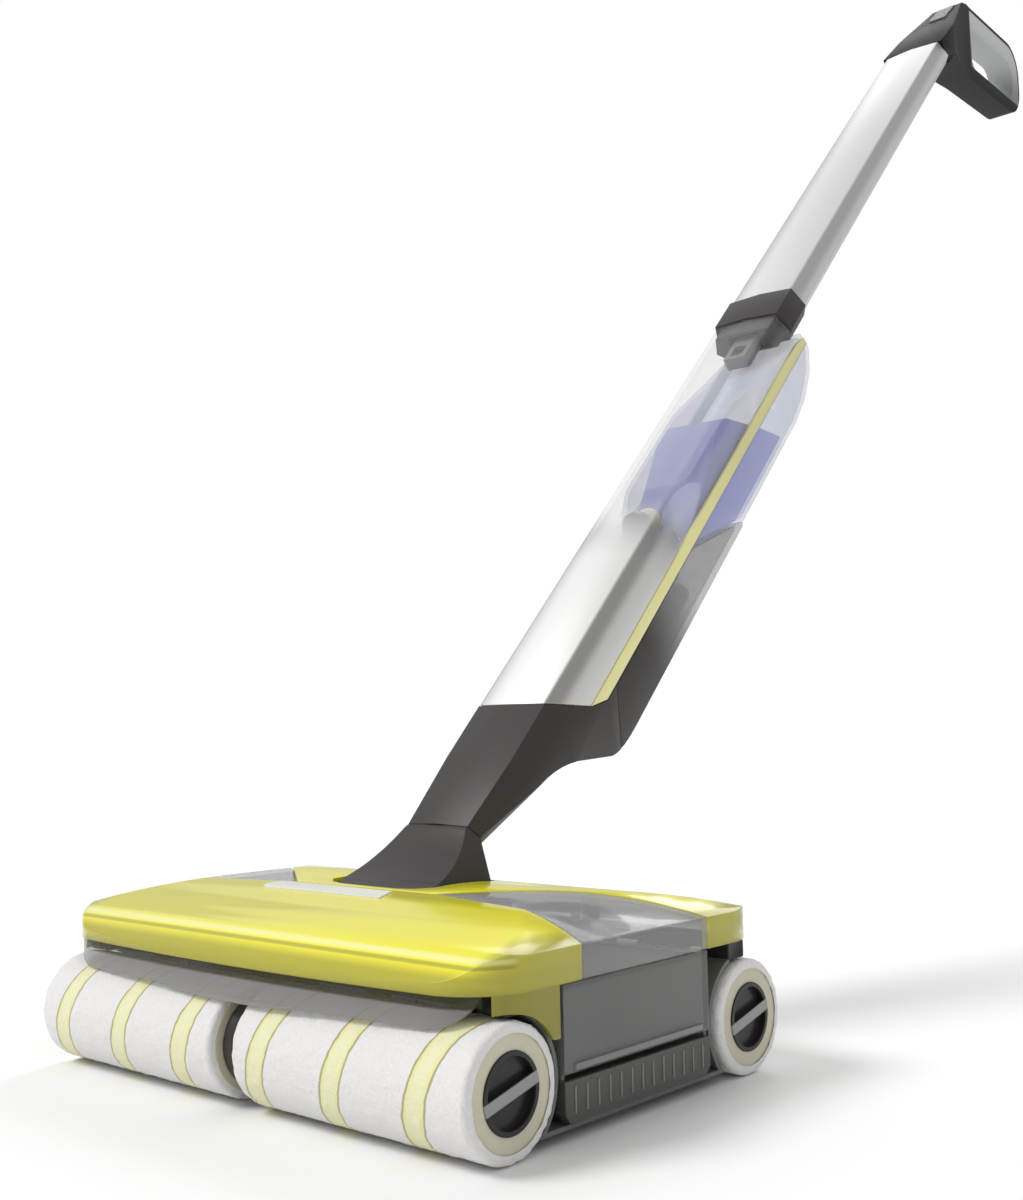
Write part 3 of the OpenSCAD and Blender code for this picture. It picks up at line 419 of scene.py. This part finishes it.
def padGrey():  # rubber pad with a pebbled face
    f = Finish("pad_grey")
    sockets = {"Vector": f.spotSocket(), "Scale": 900.0}
    pebbles = f.node("ShaderNodeTexVoronoi", sockets=sockets, out="Distance")
    cloud = f.noise(120, 3)
    return f.done({
        "Base Color": f.mix(colour(0.16, 0.17, 0.17), colour(0.36, 0.37, 0.37), cloud * pebbles * 2.0),
        "Roughness": 0.5 + 0.2 * cloud,
        "Normal": f.bump(pebbles, 0.8, 0.0003),
    })


def gripBlack(root):
    f = Finish("grip_black")
    y, z = f.along()[1:]
    back = f.maths("MAXIMUM", y - (root.y + 0.154), 0.0)
    over = f.maths("MAXIMUM", z - (root.z + 0.017), 0.0)
    reach = f.maths("SQRT", back * back + over * over)
    soft = f.ramp(reach, 0.0250, 0.0262, 1, 0) * f.ramp(z, root.z - 0.0146, root.z - 0.0134)
    soft = soft * f.ramp(y, root.y + 0.0580, root.y + 0.0600)
    height = f.ramp(z, root.z - 0.010, root.z + 0.040)
    fine = f.noise(1900, 3)
    cloud = f.noise(40, 2)
    black = f.mix(colour(0.008, 0.009, 0.009), colour(0.014, 0.015, 0.015), cloud)
    grey = f.mix(colour(0.22, 0.24, 0.235), colour(0.52, 0.54, 0.53), height)
    return f.done({
        "Base Color": f.mix(black, grey, soft),
        "Roughness": 0.46 + 0.12 * soft + 0.1 * (fine - 0.5),
        "Specular IOR Level": 0.09,
        "Normal": f.bump(fine, 0.5, 0.00004),
    })


def waterBlue(name, tone, alpha):
    f = Finish(name)
    cloud = f.noise(22, 2)
    rim = f.node("ShaderNodeLayerWeight", sockets={"Blend": 0.4}, out="Facing")
    return f.done({
        "Base Color": f.mix(colour(*tone), colour(*[min(1, c * 1.3) for c in tone]), cloud),
        "Roughness": 0.06 + 0.03 * cloud,
        "Alpha": f.maths("MINIMUM", alpha + 0.3 * rim, 1.0),
        "Normal": f.bump(cloud, 0.1, 0.0004),
    })


charcoal = mouldedPlastic("charcoal_plastic", (0.038, 0.035, 0.034), 0.40, shine=0.25)
trayGrey = mouldedPlastic("tray_grey", (0.12, 0.12, 0.12), 0.45)
darkPlastic = mouldedPlastic("dark_plastic", (0.018, 0.018, 0.019), 0.4, shine=0.25)
midGrey = mouldedPlastic("mid_grey", (0.17, 0.17, 0.18), 0.4)
nylon = mouldedPlastic("ivory_nylon", (0.72, 0.69, 0.58), 0.45)
coreTan = mouldedPlastic("core_plastic", (0.55, 0.52, 0.40), 0.5)
combBlue = mouldedPlastic("comb_blue", (0.20, 0.20, 0.62), 0.35)
barOlive = mouldedPlastic("bar_olive", (0.030, 0.029, 0.014), 0.35)
trimGrey = mouldedPlastic("trim_grey", (0.20, 0.205, 0.20), 0.35)
bossYellow = mouldedPlastic("boss_yellow", (0.45, 0.42, 0.04), 0.3)
boardGreen = mouldedPlastic("board_green", (0.01, 0.11, 0.05), 0.35)
cellWrap = mouldedPlastic("cell_wrap", (0.05, 0.07, 0.22), 0.25)
hoseRubber = mouldedPlastic("hose_rubber", (0.03, 0.03, 0.033), 0.6)
steel = brushedMetal("turned_steel", (0.62, 0.62, 0.63))
bronze = brushedMetal("sintered_bronze", (0.62, 0.42, 0.20), 0.38)
windowClear = clearPlastic("window_clear", (0.42, 0.42, 0.43), 0.30)
drawerSmoke = drawerClear()
tankClear = clearPlastic("tank_clear", (0.56, 0.60, 0.72), 0.20)
print("finishes made")


def dress(finish, *names):
    for name in names:
        nodes[name].data.materials.clear()
        nodes[name].data.materials.append(finish)


dress(trayGrey, "base_tray")
dress(charcoal, "gear_case_left", "gear_case_right", "ankle_cradle")
dress(steel, "case_screws", "idler_pins", "hinge_pin", "swivel_clip", "front_drive", "rear_drive")
dress(bronze, "shaft_bushes", "motor_pinion")
dress(nylon, "idler_1", "idler_2", "idler_3", "idler_4", "tank_cap")
dress(midGrey, "drive_motor", "valve_seat")
dress(padGrey(), "power_button")
dress(combBlue, "spray_combs")
dress(barOlive, "front_water_bar", "rear_water_bar")
dress(hoseRubber, "water_hoses", "stick_hoses", "wringer_strips")
dress(boardGreen, "control_board")
dress(cellWrap, "battery_pack")
dress(darkPlastic, "water_pump", "charging_socket")
dress(drawerSmoke, "left_waste_tank", "right_waste_tank", "left_waste_lid", "right_waste_lid")
dress(capBlack(), "front_left_cap", "front_right_cap", "rear_left_cap", "rear_right_cap")
for place in ("front_left", "front_right", "rear_left", "rear_right"):
    dress(coreTan, place + "_core")


# ---- modelling helpers

def clearSelection():
    for thing in bpy.context.selected_objects:
        thing.select_set(False)


def takeUp(piece):
    clearSelection()
    piece.select_set(True)
    bpy.context.view_layer.objects.active = piece


def finishPiece(piece, name, finish, body, replaced=(), smooth=35):
    takeUp(piece)
    bpy.ops.object.transform_apply(location=True, rotation=True, scale=True)
    bpy.ops.object.shade_smooth_by_angle(angle=math.radians(smooth))
    piece.name = name
    piece.data.name = name
    piece.data.materials.clear()
    piece.data.materials.append(finish)
    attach(piece, body)
    if replaced:
        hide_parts(*replaced)
    return piece


def applyModifier(piece, kind, **settings):
    takeUp(piece)
    modifier = piece.modifiers.new(kind.lower(), kind)
    for key, value in settings.items():
        setattr(modifier, key, value)
    bpy.ops.object.modifier_apply(modifier=modifier.name)


def bevelled(piece, width, segments, angle):
    applyModifier(
        piece, "BEVEL", width=width, segments=segments, limit_method="ANGLE",
        angle_limit=math.radians(angle),
    )


def softened(name, pieceName, width, finish, segments=3, corner=28):
    cadNode = nodes[name]
    body = cadNode["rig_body"]
    piece = bpy.data.objects.new(pieceName, cadNode.data.copy())
    bpy.context.scene.collection.objects.link(piece)
    takeUp(piece)
    bpy.ops.object.mode_set(mode="EDIT")
    bpy.ops.mesh.select_all(action="SELECT")
    bpy.ops.mesh.remove_doubles(threshold=0.00002)
    bpy.ops.mesh.dissolve_limited(angle_limit=math.radians(0.6))
    bpy.ops.object.mode_set(mode="OBJECT")
    applyModifier(
        piece, "BEVEL", width=width, segments=segments, limit_method="ANGLE",
        angle_limit=math.radians(corner), use_clamp_overlap=True, harden_normals=False,
    )
    applyModifier(piece, "TRIANGULATE", quad_method="BEAUTY")
    return finishPiece(piece, pieceName, finish, body, (name,), 30)


# ---- covers, stick and handle with rounded edges

edges = {"cover": 0.0022, "window": 0.0008, "shell": 0.0030, "trim": 0.0007, "neck": 0.0028,
         "boot": 0.0026, "collar": 0.0012, "tube": 0.0040, "handle": 0.0045, "tank": 0.0030,
         "latch": 0.0010}

yellow = yellowGloss()
softened("front_cover", "front_hood", edges["cover"], yellow)
softened("rear_cover", "rear_hood", edges["cover"], yellow)
softened("side_windows", "hood_windows", edges["window"], windowClear)
softened("splash_guards", "roller_shrouds", edges["window"], shroudClear(), 2)
softened("front_shell", "stick_shell", edges["shell"], satinSilver())
softened("trim_bands", "trim_strips", edges["trim"], creamTrim())
softened("neck", "neck_shell", edges["neck"], charcoal)
softened("rear_housing", "battery_housing", edges["neck"], housingPlastic())
softened("boot", "ankle_boot", edges["boot"], charcoal)
softened("collar", "stick_collar", edges["collar"], charcoal)
softened("upper_tube", "stick_tube", edges["tube"], anodisedTube())
softened("water_tank", "fresh_water_tank", edges["tank"], tankClear)
softened("tank_latch", "latch_block", edges["latch"], midGrey)
print("covers and stick rounded")

# the root of the hand loop, from its finger opening in the record
loopBox = next(o for o in frame["record"]["physics"]["openings"] if o["name"] == "hand_loop")["box_m"]
loopRoot = Vector((0, loopBox[0][1] - 0.065, loopBox[0][2] + 0.010))
softened("handle", "hand_loop", edges["handle"], gripBlack(loopRoot), 4)


# ---- fleece sleeves

sleeve = {"around": 160, "step": 0.0024, "softEnd": 0.0025, "rim": 0.0045, "fuzz": 0.0010,
          "fuzzSize": 0.0035}


def fleeceSleeve(name, finish):
    low, high = corners(name)
    radius = (high.z - low.z) / 2 - sleeve["fuzz"] * 0.35
    middle = (low + high) / 2
    length = high.x - low.x
    clearSelection()
    bpy.ops.mesh.primitive_circle_add(
        vertices=sleeve["around"], radius=radius, fill_type="NGON",
        location=(low.x + sleeve["softEnd"] * 0.1, middle.y, middle.z), rotation=(0, math.pi / 2, 0),
    )
    piece = bpy.context.object
    bpy.ops.object.mode_set(mode="EDIT")
    bpy.ops.mesh.select_mode(type="FACE")
    bpy.ops.mesh.select_all(action="SELECT")
    bpy.ops.mesh.inset(thickness=sleeve["rim"], depth=0)
    bpy.ops.mesh.delete(type="FACE")
    bpy.ops.mesh.select_mode(type="EDGE")
    bpy.ops.mesh.select_all(action="DESELECT")
    bpy.ops.object.mode_set(mode="OBJECT")
    for edge in piece.data.edges:
        ends = [piece.data.vertices[i].co.length for i in edge.vertices]
        edge.select = min(ends) > radius - 0.0005
    bpy.ops.object.mode_set(mode="EDIT")
    reach = length - sleeve["softEnd"] * 0.2
    steps = round(reach / sleeve["step"])
    for i in range(steps):
        bpy.ops.mesh.extrude_region_move(
            TRANSFORM_OT_translate={"value": (reach / steps, 0, 0)}
        )
    bpy.ops.mesh.extrude_region_move()
    narrowed = (radius - sleeve["rim"]) / radius
    bpy.ops.transform.resize(
        value=(1, narrowed, narrowed),
        center_override=(high.x, middle.y, middle.z),
    )
    bpy.ops.mesh.select_all(action="SELECT")
    bpy.ops.mesh.remove_doubles(threshold=0.00001)
    bpy.ops.mesh.normals_make_consistent(inside=False)
    bpy.ops.object.mode_set(mode="OBJECT")
    bpy.ops.object.transform_apply(location=True, rotation=True, scale=True)
    bevelled(piece, sleeve["softEnd"], 4, 60)
    cloud = bpy.data.textures.new("pile_" + name, "CLOUDS")
    cloud.noise_scale = sleeve["fuzzSize"]
    cloud.noise_depth = 2
    applyModifier(piece, "DISPLACE", texture=cloud, strength=sleeve["fuzz"], mid_level=0.62,
                  texture_coords="LOCAL")
    return finishPiece(piece, name + "_pile", finish, nodes[name]["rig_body"], (name,), 80)


fleece = fleecePile()
for place in ("front_left", "front_right", "rear_left", "rear_right"):
    fleeceSleeve(place + "_sleeve", fleece)
print("fleece sleeves made")


# ---- water in the tank

water = {"level": 0.405, "seatTilt": 27.2, "half": 0.0246, "back": (-0.0014, 0.0582),
         "up": (0.28, 0.50), "seat": (0.025, 0.3015)}


def bisected(piece, point, normal):
    takeUp(piece)
    bpy.ops.object.mode_set(mode="EDIT")
    bpy.ops.mesh.select_all(action="SELECT")
    bpy.ops.mesh.bisect(plane_co=point, plane_no=normal, use_fill=True, clear_outer=True)
    bpy.ops.object.mode_set(mode="OBJECT")


def stickBlock(halfWidth, backRange, upRange):
    middle = onStick(0, sum(backRange) / 2, sum(upRange) / 2)
    clearSelection()
    bpy.ops.mesh.primitive_cube_add(size=1, location=middle, rotation=(-math.acos(stickUp.z), 0, 0))
    piece = bpy.context.object
    piece.scale = (2 * halfWidth, backRange[1] - backRange[0], upRange[1] - upRange[0])
    takeUp(piece)
    bpy.ops.object.transform_apply(location=True, rotation=True, scale=True)
    return piece


def tankWater():
    tilt = math.radians(water["seatTilt"])
    seat = onStick(0, *water["seat"])
    piece = stickBlock(water["half"], water["back"], water["up"])
    seatNormal = stickBack * math.cos(tilt) - stickUp * math.sin(tilt)
    bisected(piece, seat, seatNormal)
    bisected(piece, seat, -stickUp * 29 - stickBack * 31)
    bisected(piece, onStick(0, 0, water["level"]), (0, 0, 1))
    for side in (-1, 1):
        bisected(piece, onStick(side * water["half"], 0.026, 0), Vector((side, 0, 0)) + stickBack * 0.19)
    bevelled(piece, 0.0012, 3, 20)
    return finishPiece(piece, "tank_water", waterBlue("tank_water", (0.17, 0.18, 0.66), 0.58), "fresh_tank")


tankWater()
print("water made")


# ---- badge strip, corner blocks, corner bosses and drawer trim

strip = {"left": -0.062, "right": 0.030, "front": -0.044, "depth": 0.013, "thick": 0.0009, "lift": 0.0003}
crown = {"top": corners("rear_cover")[1].z, "curve": 1.65}


def crownHeight(y):
    return crown["top"] - crown["curve"] * y * y


def badgeStrip():  # a flat bar with one round end, bent over the crown
    y = strip["front"] + strip["depth"] / 2
    radius = strip["depth"] / 2
    clearSelection()
    bpy.ops.mesh.primitive_circle_add(
        vertices=48, radius=radius, fill_type="NGON", location=(strip["left"] + radius, y, 0),
    )
    piece = bpy.context.object
    bpy.ops.object.transform_apply(location=True, rotation=True, scale=True)
    for corner in piece.data.vertices:
        if corner.co.x > strip["left"] + radius + 0.0001:
            corner.co.x = strip["right"] - (corner.co.y - strip["front"]) * 0.35
    takeUp(piece)
    bpy.ops.object.mode_set(mode="EDIT")
    bpy.ops.mesh.select_all(action="SELECT")
    bpy.ops.mesh.remove_doubles(threshold=0.00005)
    bpy.ops.mesh.extrude_region_move(TRANSFORM_OT_translate={"value": (0, 0, strip["thick"])})
    bpy.ops.mesh.select_all(action="SELECT")
    bpy.ops.mesh.normals_make_consistent(inside=False)
    bpy.ops.object.mode_set(mode="OBJECT")
    for corner in piece.data.vertices:
        corner.co.z += crownHeight(corner.co.y) - strip["lift"]
    bevelled(piece, 0.0003, 2, 30)
    finishPiece(piece, "badge_strip", mouldedPlastic("badge_silver", (0.66, 0.67, 0.60), 0.28), "head")


badgeStrip()

corner = {"out": 0.1415, "along": 0.081, "width": 0.017, "depth": 0.014, "height": 0.0088,
          "gap": 0.0002}
boss = {"out": 0.1440, "along": 0.0735, "radius": 0.0036, "bore": 0.0016, "height": 0.009}


def fourCorners():
    for side, sideWord in ((-1, "left"), (1, "right")):
        for end, endWord in ((-1, "front"), (1, "rear")):
            yield side, end, sideWord + "_" + endWord


def editFaces(piece, axis):  # edit mode, with the faces square to one axis selected
    bpy.ops.object.mode_set(mode="EDIT")
    bpy.ops.mesh.select_mode(type="FACE")
    bpy.ops.mesh.select_all(action="DESELECT")
    bpy.ops.object.mode_set(mode="OBJECT")
    for face in piece.data.polygons:
        face.select = abs(face.normal[axis]) > 0.9
    bpy.ops.object.mode_set(mode="EDIT")


def cornerBlocks():
    middle = corners("splash_guards")[1].z - corner["height"] / 2 - corner["gap"]
    for side, end, word in fourCorners():
        clearSelection()
        bpy.ops.mesh.primitive_cube_add(
            size=1, location=(side * corner["out"], end * corner["along"], middle)
        )
        piece = bpy.context.object
        piece.scale = (corner["width"], corner["depth"], corner["height"])
        takeUp(piece)
        bpy.ops.object.transform_apply(location=True, rotation=True, scale=True)
        editFaces(piece, 0)
        bpy.ops.mesh.inset(thickness=0.0018, depth=-0.0012)
        bpy.ops.object.mode_set(mode="OBJECT")
        bevelled(piece, 0.0014, 3, 50)
        finishPiece(piece, "corner_block_" + word, darkPlastic, "head")


def cornerBosses():  # screw posts under the clear corners of the hoods
    top = corners("front_cover")[1].z - 0.0245
    for side, end, word in fourCorners():
        clearSelection()
        bpy.ops.mesh.primitive_cylinder_add(
            vertices=32, radius=boss["radius"], depth=boss["height"],
            location=(side * boss["out"], end * boss["along"], top + boss["height"] / 2),
        )
        piece = bpy.context.object
        takeUp(piece)
        editFaces(piece, 2)
        bpy.ops.mesh.inset(thickness=boss["radius"] - boss["bore"], depth=0)
        bpy.ops.mesh.inset(thickness=0.0001, depth=-0.004)
        bpy.ops.object.mode_set(mode="OBJECT")
        finishPiece(piece, "corner_boss_" + word, bossYellow, "head")


cornerBlocks()
cornerBosses()

drawer = {"rail": (0.0290, 0.0316), "reach": 0.047, "proud": 0.0009, "ribs": 13, "ribWidth": 0.0009,
          "ribs from": 0.0115, "ribs to": 0.0225}


def drawerTrim(name, side):  # a rail and a row of ribs on the drawer's outer face
    low, high = corners(name)
    face = high.x if side > 0 else low.x
    clearSelection()
    bars = [(0, (drawer["rail"][0] + drawer["rail"][1]) / 2, 2 * drawer["reach"],
             drawer["rail"][1] - drawer["rail"][0], drawer["proud"] * 2)]
    for i in range(drawer["ribs"]):
        y = drawer["reach"] * (2 * i / (drawer["ribs"] - 1) - 1)
        bars.append((y, (drawer["ribs from"] + drawer["ribs to"]) / 2, drawer["ribWidth"],
                     drawer["ribs to"] - drawer["ribs from"], drawer["proud"]))
    made = []
    for y, z, width, height, proud in bars:
        clearSelection()
        bpy.ops.mesh.primitive_cube_add(size=1, location=(face, y, z))
        bar = bpy.context.object
        bar.scale = (proud, width, height)
        takeUp(bar)
        bpy.ops.object.transform_apply(location=True, rotation=True, scale=True)
        made.append(bar)
    clearSelection()
    for bar in made:
        bar.select_set(True)
    bpy.context.view_layer.objects.active = made[0]
    bpy.ops.object.join()
    bevelled(made[0], 0.0002, 2, 40)
    finishPiece(made[0], name + "_trim", trimGrey, nodes[name]["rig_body"])


drawerTrim("left_waste_tank", -1)
drawerTrim("right_waste_tank", 1)
print("small pieces made")


# ---- floor, light and camera

stage = {"floor": 40.0, "tone": (0.88, 0.88, 0.88)}


def makeFloor():
    clearSelection()
    bpy.ops.mesh.primitive_plane_add(size=stage["floor"], location=(0, 0, 0))
    floor = bpy.context.object
    floor.name = "studio_floor"
    f = Finish("studio_floor")
    cloud = f.noise(1.5, 2)
    floor.data.materials.append(f.done({
        "Base Color": f.mix(colour(*stage["tone"]), colour(0.90, 0.90, 0.90), cloud),
        "Roughness": 0.8,
    }))


lamps = {
    "key": {"from": (-0.62, -0.75, 1.05), "strength": 1.7, "angle": 22},
    "back": {"from": (-0.35, 0.95, 0.8), "strength": 0.7, "angle": 30},
}
sky = {"above": 0.72, "below": 0.34, "seen": 1.0}


def makeLamps():
    for name, setting in lamps.items():
        light = bpy.data.lights.new(name + "_lamp", "SUN")
        light.angle = math.radians(setting["angle"])
        light.energy = setting["strength"]
        lamp = bpy.data.objects.new(name + "_lamp", light)
        bpy.context.scene.collection.objects.link(lamp)
        lamp.rotation_euler = (-Vector(setting["from"])).to_track_quat("-Z", "Y").to_euler()


def makeSky():  # brighter above than below, and plain white where it is seen
    world = bpy.data.worlds.new("studio")
    world.use_nodes = True
    tree = world.node_tree
    background = tree.nodes["Background"]
    place = tree.nodes.new("ShaderNodeTexCoord")
    split = tree.nodes.new("ShaderNodeSeparateXYZ")
    grade = tree.nodes.new("ShaderNodeMapRange")
    path = tree.nodes.new("ShaderNodeLightPath")
    pick = tree.nodes.new("ShaderNodeMix")
    tree.links.new(place.outputs["Generated"], split.inputs[0])
    tree.links.new(split.outputs[2], grade.inputs["Value"])
    grade.inputs["From Min"].default_value = -0.6
    grade.inputs["To Min"].default_value = sky["below"]
    grade.inputs["To Max"].default_value = sky["above"]
    tree.links.new(path.outputs["Is Camera Ray"], pick.inputs["Factor"])
    tree.links.new(grade.outputs["Result"], pick.inputs["A"])
    pick.inputs["B"].default_value = sky["seen"]
    tree.links.new(pick.outputs["Result"], background.inputs["Strength"])
    background.inputs["Color"].default_value = (1.0, 1.0, 1.0, 1.0)
    bpy.context.scene.world = world


camera = {"place": (0.5218, -0.5007, 0.1733), "azimuth": 41.34, "rise": 4.97, "roll": -1.11,
          "lens": 41.24, "shift": (-0.0026, 0.0023)}


def makeCamera():
    around, rise, roll = (math.radians(camera[k]) for k in ("azimuth", "rise", "roll"))
    ahead = Vector((-math.sin(around) * math.cos(rise), math.cos(around) * math.cos(rise), math.sin(rise)))
    right = Vector((math.cos(around), math.sin(around), 0))
    up = right.cross(ahead)
    tiltedRight = right * math.cos(roll) + up * math.sin(roll)
    tiltedUp = up * math.cos(roll) - right * math.sin(roll)
    data = bpy.data.cameras.new("view")
    data.lens = camera["lens"]
    data.sensor_width = 36
    data.shift_x, data.shift_y = camera["shift"]
    data.clip_start = 0.01
    holder = bpy.data.objects.new("view", data)
    bpy.context.scene.collection.objects.link(holder)
    turn = Matrix((tiltedRight, tiltedUp, -ahead)).transposed().to_4x4()
    holder.matrix_world = Matrix.Translation(camera["place"]) @ turn
    bpy.context.scene.camera = holder


makeFloor()
makeLamps()
makeSky()
makeCamera()
bpy.context.scene.view_settings.view_transform = "Standard"
clearSelection()
print("stage set")
